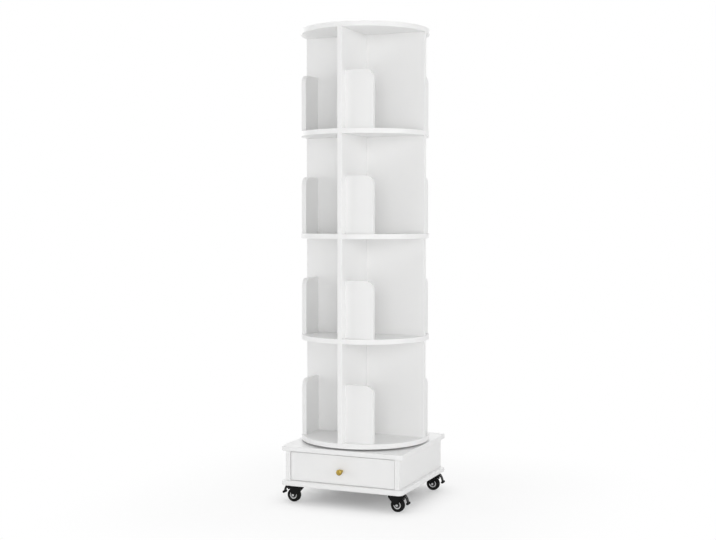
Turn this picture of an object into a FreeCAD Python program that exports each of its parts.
import FreeCAD, Part
import math
import os

import Sketcher
from FreeCAD import Placement, Rotation, Vector

# A media tower that turns: five round shelves stacked on crossed dividers, carried by a ball
# bearing on a square base that holds one drawer and rolls on four braked swivel casters.
#
# Frame: +Z up, origin on the tower's turning axis at the floor. The drawer opens towards -Y.
# Lengths are millimetres and angles are degrees.

SIZES = {
    # round tower
    "disc_diameter": 400,
    "disc_thickness": 15,
    "tier_height": 300,
    "board_thickness": 15,
    "divider_setback": 1,
    "stop_setback": 25,
    "stop_width": 90,
    "stop_height": 175,
    "stop_corner": 25,
    # square base
    "base_margin": 0,
    "base_corner": 16,
    "base_edge": 3,
    "base_overhang": 13,
    "base_side_height": 92,
    # drawer and its runners
    "drawer_gap": 1.5,
    "drawer_gap_above": 4,
    "drawer_gap_below": 1,
    "drawer_recess": 2.5,
    "drawer_side_thickness": 12,
    "drawer_side_height": 66,
    "drawer_lift": 6,
    "drawer_side_gap": 2.5,
    "drawer_back_gap": 10,
    "runner_height": 10,
    "runner_back_gap": 30,
    "runner_setback": 10,
    "runner_web_height": 26,
    "runner_web": 2,
    "runner_groove_depth": 6.5,
    "runner_clearance": 0.3,
    "panel_thickness": 3,
    "panel_groove_depth": 5,
    "panel_clearance": 0.2,
    "panel_rise": 8,
    # knob
    "knob_diameter": 18,
    "knob_length": 26,
    "knob_head": 12,
    "knob_head_round": 5,
    "knob_drop": 3,
    "knob_neck": 6.5,
    "knob_foot": 9,
    "knob_foot_height": 2,
    "knob_screw": 4,
    "knob_screw_grip": 10,
    "knob_screw_head": 8,
    "knob_screw_head_height": 2.5,
    # ball bearing under the tower
    "bearing_height": 6,
    "ring_height": 5.5,
    "track_diameter": 210,
    "ring_width": 19,
    "ball_diameter": 3.5,
    "ball_count": 12,
    "ball_clearance": 0.25,
    "ring_gap": 1.4,
    "cage_thickness": 0.6,
    "cage_height": 5.2,
    "ring_screw": 4,
    "ring_screw_head": 8,
    "ring_screw_length": 16,
    "ring_screw_count": 4,
    "access_hole": 14,
    # braked swivel casters
    "caster_height": 56.5,
    "caster_inset": 42,
    "caster_trail": 14,
    "wheel_diameter": 42,
    "wheel_width": 16,
    "tyre_thickness": 9.5,
    "tyre_bevel": 2,
    "hub_boss": 9,
    "hub_rim": 2,
    "hub_recess": 1.6,
    "axle_diameter": 5,
    "axle_head": 7.5,
    "axle_head_height": 2,
    "axle_head_round": 1.6,
    "running_clearance": 0.06,
    "swivel_clearance": 0.3,
    "wheel_side_gap": 1,
    "fork_sheet": 2,
    "fork_tail": 37,
    "fork_side_depth": 5,
    "fork_eye": 12,
    "fork_throat_out": 8,
    "fork_throat_up": 17,
    "fork_bend": 2.5,
    "crown_length": 35,
    "crown_sheet": 2.5,
    "raceway_diameter": 28,
    "raceway_height": 5,
    "collar_diameter": 24,
    "collar_height": 3,
    "stem_diameter": 8,
    "stem_length": 14,
    "kingpin_head": 12,
    "kingpin_head_height": 2,
    "nut_barrel": 10,
    "nut_flange": 20,
    "nut_flange_height": 1.5,
    "thread_clearance": 0.05,
    # foot brake of a caster
    "pedal_pivot_out": 15,
    "pedal_pivot_up": 23,
    "pedal_pin": 3,
    "pedal_knuckle": 6.8,
    "pedal_sheet": 3,
    "pedal_width": 13,
    "pedal_side_gap": 0.5,
    "pedal_bead": 7,
    "pedal_bead_width": 20,
    "pedal_rise": 7,
    "pedal_peak_out": 7.5,
    "pedal_peak_up": 8.5,
    "pedal_knee_out": 14,
    "pedal_knee_up": -2,
    "pedal_tip_out": 18,
    "pedal_tip_up": -15.5,
    "pedal_bend": 4,
    "pedal_knee_bend": 10,
    "shoe_root_out": 6,
    "shoe_root_up": 7.8,
    "shoe_out": 3.6,
    "shoe_up": -7.3,
    "shoe_sheet": 2,
    "shoe_width": 12,
}

TIERS = ("lower", "second", "third", "upper")
DISCS = ("bottom_disc", "lower_shelf_disc", "middle_shelf_disc", "upper_shelf_disc", "top_disc")
CORNERS = {"front_left": (-1, -1), "front_right": (1, -1), "back_left": (-1, 1), "back_right": (1, 1)}
QUARTERS = 4
NOTHING = 1e-9

doc = FreeCAD.newDocument("rotating_media_tower")
sheet = doc.addObject("Spreadsheet::Sheet", "Sizes")
for row, (alias, number) in enumerate(SIZES.items(), start=1):
    sheet.set(f"A{row}", alias)
    sheet.set(f"B{row}", str(number))
    sheet.setAlias(f"B{row}", alias)
doc.recompute()


class Size:
    """A size of the sheet, or one worked out from it: its expression and what that comes to now."""

    def __init__(self, text, number):
        self.text = text
        self.number = number

    @staticmethod
    def of(value):
        return value if isinstance(value, Size) else Size(repr(value), value)

    def __add__(self, other):
        other = Size.of(other)
        return Size(f"({self.text} + {other.text})", self.number + other.number)

    def __radd__(self, other):
        return Size.of(other) + self

    def __sub__(self, other):
        other = Size.of(other)
        return Size(f"({self.text} - {other.text})", self.number - other.number)

    def __rsub__(self, other):
        return Size.of(other) - self

    def __mul__(self, other):
        other = Size.of(other)
        return Size(f"({self.text} * {other.text})", self.number * other.number)

    def __rmul__(self, other):
        return Size.of(other) * self

    def __truediv__(self, other):
        other = Size.of(other)
        return Size(f"({self.text} / {other.text})", self.number / other.number)

    def __neg__(self):
        return Size(f"(0 - {self.text})", -self.number)


class Sheet:
    """Gives each alias of the sheet as a Size, so that size.disc_diameter / 2 is written as it reads."""

    def __getattr__(self, alias):
        return Size(f"Sizes.{alias}", float(sheet.get(alias)))


size = Sheet()
sub_parts = []

# heights and radii that several pieces share
base_floor = size.caster_height
cabinet_floor = base_floor + size.board_thickness
cabinet_ceiling = cabinet_floor + size.base_side_height
base_top = cabinet_ceiling + size.board_thickness
tower_floor = base_top + size.bearing_height
tier_pitch = size.tier_height + size.disc_thickness
divider_reach = size.disc_diameter / 2 - size.divider_setback
half_board = size.board_thickness / 2
base_half = size.disc_diameter / 2 + size.base_margin
body_half = base_half - size.base_overhang
opening_half = body_half - size.board_thickness

# the bearing's ball track, its two rings beside it, and the circles on which they are screwed down
track = size.track_diameter / 2
groove_reach = (size.ball_diameter / 2 + size.ball_clearance) * math.sqrt(2)
outer_rim = track + size.ring_gap / 2 + size.ring_width
inner_rim = track - size.ring_gap / 2 - size.ring_width
outer_screw_circle = (outer_rim + track + groove_reach) / 2
inner_screw_circle = (inner_rim + track - groove_reach) / 2
screw_hole = size.ring_screw + 2 * size.thread_clearance
screw_bite = size.ring_screw_length - size.ring_height


# ---------------------------------------------------------------- helpers


def bind(thing, name, value):
    """Set a number of an object through its expression."""
    thing.setExpression(name, Size.of(value).text)


def place(thing, x=0, y=0, z=0, rotation=None):
    """Put an object at a place that follows the sheet."""
    if rotation:
        thing.Placement = Placement(Vector(), rotation)
    for axis, value in zip("xyz", (x, y, z)):
        bind(thing, f"Placement.Base.{axis}", value)


def new_body(label, x=0, y=0, z=0, rotation=None):
    body = doc.addObject("PartDesign::Body", label)
    body.Label = label
    place(body, x, y, z, rotation)
    return body


def origin_of(body, role):
    return next(feature for feature in body.Origin.OriginFeatures if feature.Role == role)


def new_sketch(body, name, plane="XY_Plane", x=0, y=0, offset=0):
    """A sketch on one of the body's own planes, moved in that plane and lifted off it."""
    sketch = body.newObject("Sketcher::SketchObject", name)
    sketch.AttachmentSupport = [(origin_of(body, plane), "")]
    sketch.MapMode = "FlatFace"
    for axis, value in zip("xyz", (x, y, offset)):
        bind(sketch, f"AttachmentOffset.Base.{axis}", value)
    return sketch


def fix_point(sketch, geometry, position, x, y):
    """Hold a point of a sketch at a distance from the sketch's origin."""
    for kind, value, axis in (("DistanceX", x, -2), ("DistanceY", y, -1)):
        value = Size.of(value)
        if abs(value.number) < NOTHING:
            sketch.addConstraint(Sketcher.Constraint("PointOnObject", geometry, position, axis))
            continue
        constraint = Sketcher.Constraint(kind, -1, 1, geometry, position, value.number)
        bind(sketch, f"Constraints[{sketch.addConstraint(constraint)}]", value)


def circle(sketch, x, y, diameter):
    """A circle whose centre and diameter follow the sheet."""
    x, y, diameter = Size.of(x), Size.of(y), Size.of(diameter)
    centre = Vector(x.number, y.number, 0)
    drawn = sketch.addGeometry(Part.Circle(centre, Vector(0, 0, 1), diameter.number / 2), False)
    fix_point(sketch, drawn, 3, x, y)
    constraint = Sketcher.Constraint("Diameter", drawn, diameter.number)
    bind(sketch, f"Constraints[{sketch.addConstraint(constraint)}]", diameter)


def corner_arc(before, corner, after, radius):
    """The arc that rounds a corner: where it starts and ends, its centre, and whether it turns left."""
    u = (before - corner).normalize()
    v = (after - corner).normalize()
    half_angle = u.getAngle(v) / 2
    leg = radius / math.tan(half_angle)
    centre = corner + (u + v).normalize() * (radius / math.sin(half_angle))
    turns_left = u.cross(v).z < 0
    return corner + u * leg, corner + v * leg, centre, turns_left


def outline(sketch, corners, closed=True):
    """Straight sides from corner to corner. A corner is (x, y), or (x, y, radius) where it is rounded."""
    places = [Vector(Size.of(x).number, Size.of(y).number, 0) for x, y, *_ in corners]
    count = len(corners)
    leave, arrive, arcs = {}, {}, {}
    for i, (_, _, *rounding) in enumerate(corners):
        leave[i] = arrive[i] = places[i]
        if rounding:
            before, after = places[i - 1], places[(i + 1) % count]
            radius = Size.of(rounding[0])
            arrive[i], leave[i], centre, left = corner_arc(before, places[i], after, radius.number)
            first, last = (arrive[i], leave[i]) if left else (leave[i], arrive[i])
            angles = [math.atan2(p.y - centre.y, p.x - centre.x) for p in (first, last)]
            ring = Part.Circle(centre, Vector(0, 0, 1), radius.number)
            drawn = sketch.addGeometry(Part.ArcOfCircle(ring, *angles), False)
            arcs[i] = drawn, (1, 2) if left else (2, 1), radius
    sides = {}
    for i in range(count if closed else count - 1):
        line = Part.LineSegment(leave[i], arrive[(i + 1) % count])
        sides[i] = sketch.addGeometry(line, False)
    for i, (x, y, *_) in enumerate(corners):
        comes, goes = sides.get(i - 1 if i else count - 1), sides.get(i)
        if i in arcs:
            drawn, (start, end), radius = arcs[i]
            mark = sketch.addGeometry(Part.Point(places[i]), True)
            fix_point(sketch, mark, 1, x, y)
            sketch.addConstraint(Sketcher.Constraint("PointOnObject", mark, 1, comes))
            sketch.addConstraint(Sketcher.Constraint("PointOnObject", mark, 1, goes))
            sketch.addConstraint(Sketcher.Constraint("Tangent", comes, 2, drawn, start))
            sketch.addConstraint(Sketcher.Constraint("Tangent", drawn, end, goes, 1))
            constraint = Sketcher.Constraint("Radius", drawn, radius.number)
            bind(sketch, f"Constraints[{sketch.addConstraint(constraint)}]", radius)
            continue
        if comes is not None and goes is not None:
            sketch.addConstraint(Sketcher.Constraint("Coincident", comes, 2, goes, 1))
        end = (goes, 1) if goes is not None else (comes, 2)
        fix_point(sketch, *end, x, y)


def rectangle(sketch, x0, y0, x1, y1, radius=None):
    """A rectangle between two corners, all four corners rounded if a radius is given."""
    rounding = () if radius is None else (radius,)
    outline(sketch, [(x, y, *rounding) for x, y in ((x0, y0), (x1, y0), (x1, y1), (x0, y1))])


def pad(body, sketch, length, reverse=False, both_ways=False, name="pad"):
    feature = body.newObject("PartDesign::Pad", name)
    feature.Profile = sketch
    bind(feature, "Length", length)
    feature.Midplane = both_ways
    feature.Reversed = reverse
    return feature


def pocket(body, sketch, length, reverse=False, both_ways=False, name="pocket"):
    """Cut a sketch away and make sure that something was cut."""
    doc.recompute()
    before = body.Shape.Volume
    feature = body.newObject("PartDesign::Pocket", name)
    feature.Profile = sketch
    bind(feature, "Length", length)
    feature.Midplane = both_ways
    feature.Reversed = reverse
    doc.recompute()
    if body.Shape.Volume > before - NOTHING:
        raise RuntimeError(f"{body.Label}: {name} cuts nothing")
    return feature


def revolve(body, sketch, name="turning"):
    feature = body.newObject("PartDesign::Revolution", name)
    feature.Profile = sketch
    feature.ReferenceAxis = (sketch, ["V_Axis"])
    feature.Angle = 360
    return feature


def around_axis(body, features, count, name="round_the_axis"):
    """Repeat features evenly round the body's Z axis."""
    pattern = body.newObject("PartDesign::PolarPattern", name)
    pattern.Originals = features
    pattern.Axis = (origin_of(body, "Z_Axis"), [""])
    pattern.Angle = 360
    bind(pattern, "Occurrences", count)
    body.Tip = pattern
    return pattern


def box(label, x0, y0, z0, x1, y1, z1):
    """A plain board between two corners."""
    board = doc.addObject("Part::Box", label)
    board.Label = label
    bind(board, "Length", Size.of(x1) - x0)
    bind(board, "Width", Size.of(y1) - y0)
    bind(board, "Height", Size.of(z1) - z0)
    place(board, x0, y0, z0)
    return board


def rod(label, diameter, length, x, y, z, rotation=None):
    """A plain round rod that starts at a place and runs along its own Z."""
    bar = doc.addObject("Part::Cylinder", label)
    bar.Label = label
    bind(bar, "Radius", Size.of(diameter) / 2)
    bind(bar, "Height", length)
    place(bar, x, y, z, rotation)
    return bar


# ---------------------------------------------------------------- turning tower


def make_disc(label, level):
    """A round shelf board; level counts the discs up from the bearing."""
    body = new_body(label, z=tower_floor + tier_pitch * level)
    sketch = new_sketch(body, "rim")
    circle(sketch, 0, 0, size.disc_diameter)
    pad(body, sketch, size.disc_thickness)
    return body


def make_long_divider(label, floor):
    """The board that runs right across a tier from front to back."""
    return box(label, -half_board, -divider_reach, floor, half_board, divider_reach,
               floor + size.tier_height)


def make_side_dividers(label, floor):
    """The two half boards that butt against the long divider and make the cross."""
    body = new_body(label, z=floor)
    sketch = new_sketch(body, "both_boards")
    rectangle(sketch, half_board, -half_board, divider_reach, half_board)
    rectangle(sketch, -divider_reach, -half_board, -half_board, half_board)
    pad(body, sketch, size.tier_height)
    return body


def make_book_stops(label, floor):
    """Four upright stops, one near the end of each divider, that keep books from sliding out."""
    body = new_body(label, z=floor)
    outer_face = divider_reach - size.stop_setback
    sketch = new_sketch(body, "stop_outline", "XZ_Plane", offset=outer_face)
    far = half_board + size.stop_width
    outline(sketch, [
        (half_board, 0),
        (far, 0),
        (far, size.stop_height, size.stop_corner),
        (half_board, size.stop_height),
    ])
    stop = pad(body, sketch, size.board_thickness, reverse=True)
    around_axis(body, [stop], QUARTERS)
    return body


def bore_for_ring_screws(disc):
    """Holes in the bottom disc's underside for the screws of the bearing's upper ring."""
    sketch = new_sketch(disc, "screw_hole", x=inner_screw_circle)
    circle(sketch, 0, 0, screw_hole)
    bores = pocket(disc, sketch, screw_bite, reverse=True, name="screw_bore")
    around_axis(disc, [bores], size.ring_screw_count)


discs = [make_disc(label, level) for level, label in enumerate(DISCS)]
bore_for_ring_screws(discs[0])
sub_parts += discs

for level, tier in enumerate(TIERS):
    floor = tower_floor + tier_pitch * level + size.disc_thickness
    sub_parts.append(make_long_divider(f"{tier}_long_divider", floor))
    sub_parts.append(make_side_dividers(f"{tier}_side_dividers", floor))
    sub_parts.append(make_book_stops(f"{tier}_book_stops", floor))


# ---------------------------------------------------------------- ball bearing

ball_level = size.bearing_height / 2
ring_lift = size.bearing_height - size.ring_height
groove_half = groove_reach - size.ring_gap / 2


def ring_profile(sketch, plain_radius, side, foot, head):
    """Half section of a bearing ring: square, with a V groove for the balls in the face by the track."""
    face = track + side * size.ring_gap / 2
    outline(sketch, [
        (plain_radius, foot),
        (plain_radius, head),
        (face, head),
        (face, ball_level + groove_half),
        (track + side * groove_reach, ball_level),
        (face, ball_level - groove_half),
        (face, foot),
    ])


def screw_seats(body, radius, face, deep, upwards):
    """Countersunk holes through a ring, drawn as the section of the screw that fills them."""
    clear = size.thread_clearance
    half_shank = size.ring_screw / 2 + clear
    half_head = size.ring_screw_head / 2 + clear
    way = 1 if upwards else -1
    sketch = new_sketch(body, "countersink", "XZ_Plane", x=radius)
    outline(sketch, [
        (0, face),
        (half_head, face),
        (half_shank, face + way * (half_head - half_shank)),
        (half_shank, deep),
        (0, deep),
    ])
    doc.recompute()
    before = body.Shape.Volume
    cut = body.newObject("PartDesign::Groove", "screw_seat")
    cut.Profile = sketch
    cut.ReferenceAxis = (sketch, ["V_Axis"])
    cut.Angle = 360
    around_axis(body, [cut], size.ring_screw_count)
    doc.recompute()
    if body.Shape.Volume > before - NOTHING:
        raise RuntimeError(f"{body.Label}: the screw seats cut nothing")


def make_ring_screws(label, radius, face, upwards):
    """Countersunk screws, their heads flush with the ring's face."""
    body = new_body(label, z=base_top)
    way = 1 if upwards else -1
    half_shank = size.ring_screw / 2
    half_head = size.ring_screw_head / 2
    sketch = new_sketch(body, "screw", "XZ_Plane", x=radius)
    outline(sketch, [
        (0, face),
        (half_head, face),
        (half_shank, face + way * (half_head - half_shank)),
        (half_shank, face + way * size.ring_screw_length),
        (0, face + way * size.ring_screw_length),
    ])
    around_axis(body, [revolve(body, sketch)], size.ring_screw_count)
    return body


def make_lower_ring():
    body = new_body("bearing_lower_ring", z=base_top)
    sketch = new_sketch(body, "ring_section", "XZ_Plane")
    ring_profile(sketch, outer_rim, 1, 0, size.ring_height)
    revolve(body, sketch)
    screw_seats(body, outer_screw_circle, size.ring_height, 0, upwards=False)
    return body


def make_upper_ring():
    body = new_body("bearing_upper_ring", z=base_top)
    sketch = new_sketch(body, "ring_section", "XZ_Plane")
    ring_profile(sketch, inner_rim, -1, ring_lift, size.bearing_height)
    revolve(body, sketch)
    screw_seats(body, inner_screw_circle, ring_lift, size.bearing_height, upwards=True)
    return body


def make_cage():
    """A thin strip between the rings, with a round window for each ball."""
    body = new_body("ball_cage", z=base_top)
    sketch = new_sketch(body, "strip_section", "XZ_Plane")
    rectangle(sketch, track - size.cage_thickness / 2, ball_level - size.cage_height / 2,
              track + size.cage_thickness / 2, ball_level + size.cage_height / 2)
    revolve(body, sketch)
    window = new_sketch(body, "ball_window", "YZ_Plane", offset=track)
    circle(window, 0, ball_level, size.ball_diameter + 2 * size.ball_clearance)
    cut = pocket(body, window, 4 * size.cage_thickness, both_ways=True, name="window")
    around_axis(body, [cut], size.ball_count)
    return body


def make_balls():
    """The bearing's balls: a half disc turned about its own upright, then repeated round the track."""
    body = new_body("bearing_balls", z=base_top)
    sketch = new_sketch(body, "half_ball", "XZ_Plane", x=track, y=ball_level)
    radius = size.ball_diameter / 2
    quarter = math.pi / 2
    ring = Part.Circle(Vector(), Vector(0, 0, 1), radius.number)
    arc = sketch.addGeometry(Part.ArcOfCircle(ring, -quarter, quarter), False)
    top, foot = Vector(0, radius.number, 0), Vector(0, -radius.number, 0)
    chord = sketch.addGeometry(Part.LineSegment(top, foot), False)
    sketch.addConstraint(Sketcher.Constraint("Coincident", arc, 3, -1, 1))
    sketch.addConstraint(Sketcher.Constraint("Coincident", arc, 2, chord, 1))
    sketch.addConstraint(Sketcher.Constraint("Coincident", arc, 1, chord, 2))
    sketch.addConstraint(Sketcher.Constraint("Vertical", chord))
    constraint = Sketcher.Constraint("Radius", arc, radius.number)
    bind(sketch, f"Constraints[{sketch.addConstraint(constraint)}]", radius)
    around_axis(body, [revolve(body, sketch)], size.ball_count)
    return body


sub_parts += [
    make_lower_ring(),
    make_upper_ring(),
    make_cage(),
    make_balls(),
    make_ring_screws("bearing_lower_screws", outer_screw_circle, size.ring_height, upwards=False),
    make_ring_screws("bearing_upper_screws", inner_screw_circle, ring_lift, upwards=True),
]


# ---------------------------------------------------------------- square base

kingpin = base_half - size.caster_inset


def make_base_board(label, z):
    """A square board with rounded corners and softly rounded upper and lower edges."""
    body = new_body(label, z=z)
    sketch = new_sketch(body, "board_outline")
    rectangle(sketch, -base_half, -base_half, base_half, base_half, size.base_corner)
    board = pad(body, sketch, size.board_thickness)
    doc.recompute()
    flat = [
        f"Face{i}" for i, face in enumerate(board.Shape.Faces, start=1)
        if abs(abs(face.normalAt(0, 0).z) - 1) < NOTHING
    ]
    soft_edge = body.newObject("PartDesign::Fillet", "soft_edge")
    soft_edge.Base = (board, flat)
    bind(soft_edge, "Radius", size.base_edge)
    return body


def make_bottom_board():
    """The lower board, bored for the nuts that the casters screw into."""
    body = make_base_board("base_bottom_board", base_floor)
    holes = new_sketch(body, "nut_holes")
    for x, y in CORNERS.values():
        circle(holes, x * kingpin, y * kingpin, size.nut_barrel + 2 * size.thread_clearance)
    pocket(body, holes, size.board_thickness, reverse=True, name="nut_bores")
    return body


def make_top_board():
    """The upper board: screw holes for the lower ring, and a hole for the driver for the upper one."""
    body = make_base_board("base_top_board", cabinet_ceiling)
    holes = new_sketch(body, "screw_hole", x=outer_screw_circle, offset=size.board_thickness)
    circle(holes, 0, 0, screw_hole)
    bores = pocket(body, holes, screw_bite, name="screw_bore")
    around_axis(body, [bores], size.ring_screw_count)
    access = new_sketch(body, "access", y=inner_screw_circle)
    circle(access, 0, 0, size.access_hole)
    pocket(body, access, size.board_thickness, reverse=True, name="access_hole")
    return body


def make_runner(label, side):
    """A plastic rail on the cabinet's side that the drawer's groove slides on; side is -1 or 1."""
    body = new_body(label)
    wall = side * opening_half
    web = side * (opening_half - size.runner_web)
    nose = side * (opening_half - runner_reach)
    half_web, half_rail = size.runner_web_height / 2, size.runner_height / 2
    sketch = new_sketch(body, "rail_section", "XZ_Plane", offset=runner_front)
    outline(sketch, [
        (wall, runner_level - half_web),
        (web, runner_level - half_web),
        (web, runner_level - half_rail),
        (nose, runner_level - half_rail),
        (nose, runner_level + half_rail),
        (web, runner_level + half_rail),
        (web, runner_level + half_web),
        (wall, runner_level + half_web),
    ])
    pad(body, sketch, runner_front + back_panel_face - size.runner_back_gap, reverse=True)
    return body


# the drawer's own planes, which its runners share
front_floor = cabinet_floor + size.drawer_gap_below
front_ceiling = cabinet_ceiling - size.drawer_gap_above
front_face = body_half - size.drawer_recess
front_back_face = front_face - size.board_thickness
back_panel_face = body_half - size.board_thickness
drawer_floor = front_floor + size.drawer_lift
drawer_top = drawer_floor + size.drawer_side_height
drawer_back_face = back_panel_face - size.drawer_back_gap
side_outer = opening_half - size.drawer_side_gap
side_inner = side_outer - size.drawer_side_thickness
panel_floor = drawer_floor + size.panel_rise
panel_top = panel_floor + size.panel_thickness
knob_level = (front_floor + front_ceiling) / 2 - size.knob_drop
runner_level = (drawer_floor + drawer_top) / 2
runner_reach = size.drawer_side_gap + size.runner_groove_depth - size.runner_clearance
runner_front = front_back_face - size.runner_setback

sub_parts += [
    make_bottom_board(),
    make_top_board(),
    box("base_left_side", -body_half, -body_half, cabinet_floor,
        -opening_half, body_half, cabinet_ceiling),
    box("base_right_side", opening_half, -body_half, cabinet_floor,
        body_half, body_half, cabinet_ceiling),
    box("base_back_panel", -opening_half, back_panel_face, cabinet_floor,
        opening_half, body_half, cabinet_ceiling),
    make_runner("drawer_runner_left", -1),
    make_runner("drawer_runner_right", 1),
]


# ---------------------------------------------------------------- drawer


def make_drawer_front():
    """The board that closes the opening, grooved behind for the bottom panel and bored for the knob."""
    body = new_body("drawer_front")
    half = opening_half - size.drawer_gap
    sketch = new_sketch(body, "front_outline", "XZ_Plane", offset=front_face)
    rectangle(sketch, -half, front_floor, half, front_ceiling)
    pad(body, sketch, size.board_thickness, reverse=True)
    groove = new_sketch(body, "panel_groove", "XZ_Plane", offset=front_back_face)
    groove_end = side_inner + size.panel_groove_depth
    rectangle(groove, -groove_end, panel_floor, groove_end, panel_top + size.panel_clearance)
    pocket(body, groove, size.panel_groove_depth, reverse=True, name="groove")
    hole = new_sketch(body, "knob_hole", "XZ_Plane", offset=front_back_face)
    circle(hole, 0, knob_level, size.knob_screw + 2 * size.thread_clearance)
    pocket(body, hole, size.board_thickness, reverse=True, name="knob_bore")
    return body


def make_drawer_side(label, side):
    """A side board with the runner's groove outside and the bottom panel's groove inside."""
    body = new_body(label)
    outer, inner = side * side_outer, side * side_inner
    slot = side * (side_inner + size.panel_groove_depth)
    rail_slot = side * (side_outer - size.runner_groove_depth)
    half_slot = size.runner_height / 2 + size.runner_clearance
    slot_top = panel_top + size.panel_clearance
    sketch = new_sketch(body, "side_section", "XZ_Plane", offset=front_back_face)
    outline(sketch, [
        (outer, drawer_floor),
        (inner, drawer_floor),
        (inner, panel_floor),
        (slot, panel_floor),
        (slot, slot_top),
        (inner, slot_top),
        (inner, drawer_top),
        (outer, drawer_top),
        (outer, runner_level + half_slot),
        (rail_slot, runner_level + half_slot),
        (rail_slot, runner_level - half_slot),
        (outer, runner_level - half_slot),
    ])
    pad(body, sketch, front_back_face + drawer_back_face, reverse=True)
    return body


def make_drawer_bottom():
    """A thin panel that lies in the grooves of the front and the sides."""
    reach = side_inner + size.panel_groove_depth - size.panel_clearance
    front = front_back_face + size.panel_groove_depth - size.panel_clearance
    return box("drawer_bottom", -reach, -front, panel_floor, reach, drawer_back_face, panel_top)


def make_knob():
    """A turned knob: foot, neck and a head with a rounded rim, bored from behind for its screw."""
    body = new_body("drawer_knob", y=-front_face, z=knob_level, rotation=Rotation(Vector(1, 0, 0), 90))
    half_bore = size.knob_screw / 2 + size.thread_clearance
    head_back = size.knob_length - size.knob_head
    sketch = new_sketch(body, "knob_section", "XZ_Plane")
    outline(sketch, [
        (0, size.knob_screw_grip),
        (half_bore, size.knob_screw_grip),
        (half_bore, 0),
        (size.knob_foot / 2, 0),
        (size.knob_foot / 2, size.knob_foot_height),
        (size.knob_neck / 2, size.knob_foot_height),
        (size.knob_neck / 2, head_back),
        (size.knob_diameter / 2, head_back),
        (size.knob_diameter / 2, size.knob_length, size.knob_head_round),
        (0, size.knob_length),
    ])
    revolve(body, sketch)
    return body


def make_knob_screw():
    """The screw that holds the knob, its flat head against the inside of the drawer's front."""
    body = new_body("knob_screw", y=-front_back_face, z=knob_level, rotation=Rotation(Vector(1, 0, 0), 90))
    end = size.board_thickness + size.knob_screw_grip - size.panel_clearance
    sketch = new_sketch(body, "screw_section", "XZ_Plane")
    outline(sketch, [
        (0, -size.knob_screw_head_height),
        (size.knob_screw_head / 2, -size.knob_screw_head_height),
        (size.knob_screw_head / 2, 0),
        (size.knob_screw / 2, 0),
        (size.knob_screw / 2, end),
        (0, end),
    ])
    revolve(body, sketch)
    return body


sub_parts += [
    make_drawer_front(),
    make_drawer_side("drawer_left_side", -1),
    make_drawer_side("drawer_right_side", 1),
    box("drawer_back", -side_inner, drawer_back_face - size.drawer_side_thickness, panel_top,
        side_inner, drawer_back_face, drawer_top),
    make_drawer_bottom(),
    make_knob(),
    make_knob_screw(),
]


# ---------------------------------------------------------------- casters
#
# A caster's own frame: its kingpin is the Z axis, the floor is z = 0 and the wheel trails along +X.

collar_floor = size.caster_height - size.collar_height
raceway_top = collar_floor - size.swivel_clearance
crown_top = raceway_top - size.raceway_height
crown_floor = crown_top - size.crown_sheet
head_top = crown_floor - size.swivel_clearance
wheel_radius = size.wheel_diameter / 2
hub_radius = wheel_radius - size.tyre_thickness
fork_nose = size.raceway_diameter / 2
channel = size.wheel_width + 2 * size.wheel_side_gap
fork_width = channel + 2 * size.fork_sheet
pivot_out = size.caster_trail + size.pedal_pivot_out
pivot_up = wheel_radius + size.pedal_pivot_up


def make_stems():
    """The part of each caster that stays still: kingpin with its riveted head, collar and screw stem."""
    body = new_body("caster_stems")
    sketch = new_sketch(body, "stem_section", "XZ_Plane", x=kingpin, offset=kingpin)
    outline(sketch, [
        (0, head_top - size.kingpin_head_height),
        (size.kingpin_head / 2, head_top - size.kingpin_head_height),
        (size.kingpin_head / 2, head_top),
        (size.stem_diameter / 2, head_top),
        (size.stem_diameter / 2, collar_floor),
        (size.collar_diameter / 2, collar_floor),
        (size.collar_diameter / 2, base_floor),
        (size.stem_diameter / 2, base_floor),
        (size.stem_diameter / 2, base_floor + size.stem_length),
        (0, base_floor + size.stem_length),
    ])
    around_axis(body, [revolve(body, sketch)], QUARTERS)
    return body


def make_nuts():
    """Flanged nuts pressed into the bottom board from inside, one over each caster."""
    body = new_body("caster_nuts")
    bore = size.stem_diameter / 2 + size.thread_clearance
    sketch = new_sketch(body, "nut_section", "XZ_Plane", x=kingpin, offset=kingpin)
    outline(sketch, [
        (bore, base_floor + size.collar_height),
        (size.nut_barrel / 2, base_floor + size.collar_height),
        (size.nut_barrel / 2, cabinet_floor),
        (size.nut_flange / 2, cabinet_floor),
        (size.nut_flange / 2, cabinet_floor + size.nut_flange_height),
        (bore, cabinet_floor + size.nut_flange_height),
    ])
    around_axis(body, [revolve(body, sketch)], QUARTERS)
    return body


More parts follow.
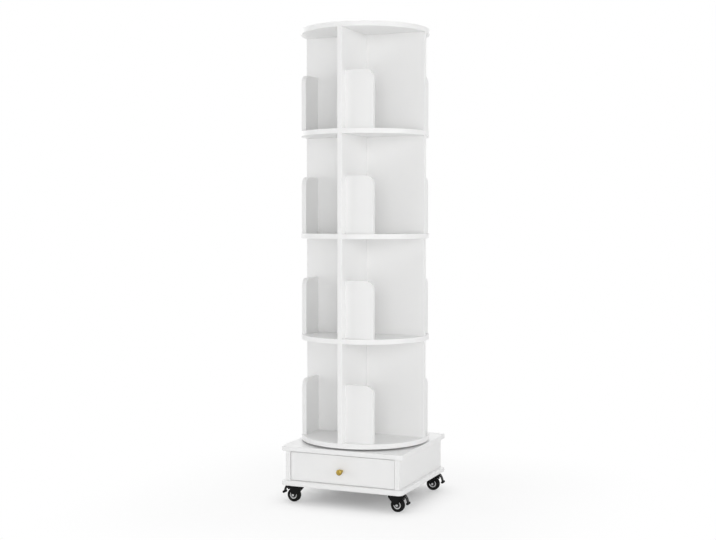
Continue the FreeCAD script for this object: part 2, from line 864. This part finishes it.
def leg_outline(sketch, corners, centre_x, centre_z, diameter):
    """Straight sides through the corners; the first and last side run smoothly into a round eye."""
    centre = Vector(Size.of(centre_x).number, Size.of(centre_z).number, 0)
    radius = Size.of(diameter).number / 2
    places = [Vector(Size.of(x).number, Size.of(z).number, 0) for x, z in corners]
    angles = []
    for arm, way in ((places[0] - centre, 1), (places[-1] - centre, -1)):
        angles.append(math.atan2(arm.y, arm.x) + way * math.acos(radius / arm.Length))
    touch = [centre + Vector(math.cos(a), math.sin(a), 0) * radius for a in angles]
    ring = Part.Circle(centre, Vector(0, 0, 1), radius)
    eye = sketch.addGeometry(Part.ArcOfCircle(ring, *angles), False)
    stations = [touch[0], *places, touch[1]]
    sides = [
        sketch.addGeometry(Part.LineSegment(start, end), False)
        for start, end in zip(stations, stations[1:])
    ]
    fix_point(sketch, eye, 3, centre_x, centre_z)
    constraint = Sketcher.Constraint("Diameter", eye, 2 * radius)
    bind(sketch, f"Constraints[{sketch.addConstraint(constraint)}]", diameter)
    sketch.addConstraint(Sketcher.Constraint("Tangent", sides[0], 1, eye, 1))
    sketch.addConstraint(Sketcher.Constraint("Tangent", sides[-1], 2, eye, 2))
    for i, (x, z) in enumerate(corners):
        sketch.addConstraint(Sketcher.Constraint("Coincident", sides[i], 2, sides[i + 1], 1))
        fix_point(sketch, sides[i], 2, x, z)


def long_edges_at(feature, level):
    """The names of a feature's edges that run along X at a level."""
    doc.recompute()
    return [
        f"Edge{i}" for i, edge in enumerate(feature.Shape.Edges, start=1)
        if abs(edge.tangentAt(edge.FirstParameter).x) > 1 - NOTHING
        and all(abs(corner.Z - level.number) < 1e-6 for corner in edge.Vertexes)
    ]


def make_fork():
    """A pressed fork: two tapered legs under a crown with the raceway on it, open behind for the brake."""
    body = new_body("fork")
    side = new_sketch(body, "leg_side", "XZ_Plane")
    side_foot = crown_top - size.fork_side_depth
    leg_outline(side, [
        (-fork_nose, side_foot),
        (-fork_nose, crown_top),
        (size.fork_tail, crown_top),
        (size.fork_tail, side_foot),
        (size.caster_trail + size.fork_throat_out, wheel_radius + size.fork_throat_up),
    ], size.caster_trail, wheel_radius, size.fork_eye)
    legs = pad(body, side, fork_width, both_ways=True, name="legs")
    bend = body.newObject("PartDesign::Fillet", "pressed_bend")
    bend.Base = (legs, long_edges_at(legs, crown_top))
    bind(bend, "Radius", size.fork_bend)
    crown_end = size.crown_length - fork_nose
    beyond = fork_width
    inside = new_sketch(body, "channel_side", "XZ_Plane")
    outline(inside, [
        (-fork_nose - beyond, 0),
        (size.fork_tail + beyond, 0),
        (size.fork_tail + beyond, crown_top + beyond),
        (crown_end, crown_top + beyond),
        (crown_end, crown_floor),
        (-fork_nose - beyond, crown_floor),
    ])
    pocket(body, inside, channel, both_ways=True, name="channel")
    raceway = new_sketch(body, "raceway_rim", offset=crown_top)
    circle(raceway, 0, 0, size.raceway_diameter)
    pad(body, raceway, size.raceway_height, name="raceway")
    hole = new_sketch(body, "kingpin_hole", offset=raceway_top)
    circle(hole, 0, 0, size.stem_diameter + 2 * size.running_clearance)
    pocket(body, hole, size.raceway_height + size.crown_sheet, name="kingpin_bore")
    pins = new_sketch(body, "pin_holes", "XZ_Plane")
    circle(pins, size.caster_trail, wheel_radius, size.axle_diameter + 2 * size.thread_clearance)
    circle(pins, pivot_out, pivot_up, size.pedal_pin + 2 * size.thread_clearance)
    pocket(body, pins, 2 * fork_width, both_ways=True, name="pin_bores")
    return body


def make_axle():
    """The wheel's riveted axle, with a domed head outside each leg."""
    body = new_body("axle")
    sketch = new_sketch(body, "axle_section", x=size.caster_trail, offset=wheel_radius)
    end = fork_width / 2 + size.axle_head_height
    outline(sketch, [
        (0, -end),
        (size.axle_head / 2, -end, size.axle_head_round),
        (size.axle_head / 2, -fork_width / 2),
        (size.axle_diameter / 2, -fork_width / 2),
        (size.axle_diameter / 2, fork_width / 2),
        (size.axle_head / 2, fork_width / 2),
        (size.axle_head / 2, end, size.axle_head_round),
        (0, end),
    ])
    revolve(body, sketch)
    return body


def make_tyre():
    body = new_body("tyre")
    half = size.wheel_width / 2
    shoulder = wheel_radius - size.tyre_bevel
    sketch = new_sketch(body, "tyre_section", x=size.caster_trail, offset=wheel_radius)
    outline(sketch, [
        (hub_radius, -half),
        (shoulder, -half),
        (wheel_radius, -half + size.tyre_bevel),
        (wheel_radius, half - size.tyre_bevel),
        (shoulder, half),
        (hub_radius, half),
    ])
    revolve(body, sketch)
    return body


def make_hub():
    """The moulded hub, hollowed on both sides, its boss long enough to keep the wheel amid the fork."""
    body = new_body("hub")
    half = size.wheel_width / 2
    web = half - size.hub_recess
    rim = hub_radius - size.hub_rim
    boss = channel / 2 - size.swivel_clearance
    bore = size.axle_diameter / 2 + size.running_clearance
    sketch = new_sketch(body, "hub_section", x=size.caster_trail, offset=wheel_radius)
    outline(sketch, [
        (bore, -boss),
        (size.hub_boss / 2, -boss),
        (size.hub_boss / 2, -web),
        (rim, -web),
        (rim, -half),
        (hub_radius, -half),
        (hub_radius, half),
        (rim, half),
        (rim, web),
        (size.hub_boss / 2, web),
        (size.hub_boss / 2, boss),
        (bore, boss),
    ])
    revolve(body, sketch)
    return body


def make_pedal():
    """The foot brake: a bent lever on a pin between the legs, with a shoe that swings at the tyre."""
    body = new_body("pedal")
    knuckle = new_sketch(body, "knuckle", "XZ_Plane")
    circle(knuckle, pivot_out, pivot_up, size.pedal_knuckle)
    pad(body, knuckle, channel - 2 * size.pedal_side_gap, both_ways=True, name="knuckle_pad")
    path = new_sketch(body, "lever_path", "XZ_Plane")
    outline(path, [
        (pivot_out, pivot_up),
        (pivot_out, pivot_up + size.pedal_rise, size.pedal_bend),
        (pivot_out + size.pedal_peak_out, pivot_up + size.pedal_peak_up, size.pedal_bend),
        (pivot_out + size.pedal_knee_out, pivot_up + size.pedal_knee_up, size.pedal_knee_bend),
        (pivot_out + size.pedal_tip_out, pivot_up + size.pedal_tip_up),
    ], closed=False)
    section = new_sketch(body, "lever_section", offset=pivot_up)
    rectangle(section, pivot_out - size.pedal_sheet / 2, -size.pedal_width / 2,
              pivot_out + size.pedal_sheet / 2, size.pedal_width / 2)
    lever = body.newObject("PartDesign::AdditivePipe", "lever")
    lever.Profile = section
    lever.Spine = (path, [])
    bead = new_sketch(body, "bead", "XZ_Plane")
    circle(bead, pivot_out + size.pedal_tip_out, pivot_up + size.pedal_tip_up, size.pedal_bead)
    pad(body, bead, size.pedal_bead_width, both_ways=True, name="tread_bead")
    half_shoe = size.shoe_sheet / 2
    shoe = new_sketch(body, "shoe", "XZ_Plane")
    outline(shoe, [
        (pivot_out + size.shoe_out - half_shoe, pivot_up + size.shoe_up),
        (pivot_out + size.shoe_out + half_shoe, pivot_up + size.shoe_up),
        (pivot_out + size.shoe_root_out + half_shoe, pivot_up + size.shoe_root_up),
        (pivot_out + size.shoe_root_out - half_shoe, pivot_up + size.shoe_root_up),
    ])
    pad(body, shoe, size.shoe_width, both_ways=True, name="brake_shoe")
    hole = new_sketch(body, "pivot_hole", "XZ_Plane")
    circle(hole, pivot_out, pivot_up, size.pedal_pin + 2 * size.running_clearance)
    pocket(body, hole, 2 * channel, both_ways=True, name="pivot_bore")
    return body


fork_pieces = [
    make_fork(),
    make_axle(),
    rod("pedal_pin", size.pedal_pin, fork_width, pivot_out, fork_width / 2, pivot_up,
        Rotation(Vector(1, 0, 0), 90)),
]
hub, tyre, pedal = make_hub(), make_tyre(), make_pedal()


def stand_at_corner(kind, pieces, corner):
    """A caster's sub-part at one corner of the base, turned so that its wheel trails outwards."""
    x, y = CORNERS[corner]
    group = doc.addObject("Part::Compound", f"{kind}_{corner}")
    group.Label = f"{kind}_{corner}"
    group.Links = pieces
    place(group, x * kingpin, y * kingpin, 0, Rotation(Vector(0, 0, 1), 0 if x > 0 else 180))
    return group


sub_parts += [make_stems(), make_nuts()]
for corner in CORNERS:
    sub_parts.append(stand_at_corner("caster_fork", fork_pieces, corner))
    sub_parts.append(stand_at_corner("caster_hub", [hub], corner))
    sub_parts.append(stand_at_corner("caster_tyre", [tyre], corner))
    sub_parts.append(stand_at_corner("brake_pedal", [pedal], corner))


# ---------------------------------------------------------------- checks and files

doc.recompute()
failed = [thing.Label for thing in doc.Objects if {"Invalid", "Error"} & set(thing.State)]
if failed:
    raise RuntimeError(f"these objects failed: {failed}")
for part in sub_parts:
    if part.Shape.isNull() or not part.Shape.Solids or not part.Shape.isValid():
        raise RuntimeError(f"{part.Label} has no valid solid")

os.makedirs("parts", exist_ok=True)
for part in sub_parts:
    part.Shape.exportStep(f"parts/{part.Label}.step")
print(f"{len(sub_parts)} sub-parts, {sum(len(part.Shape.Solids) for part in sub_parts)} solids")
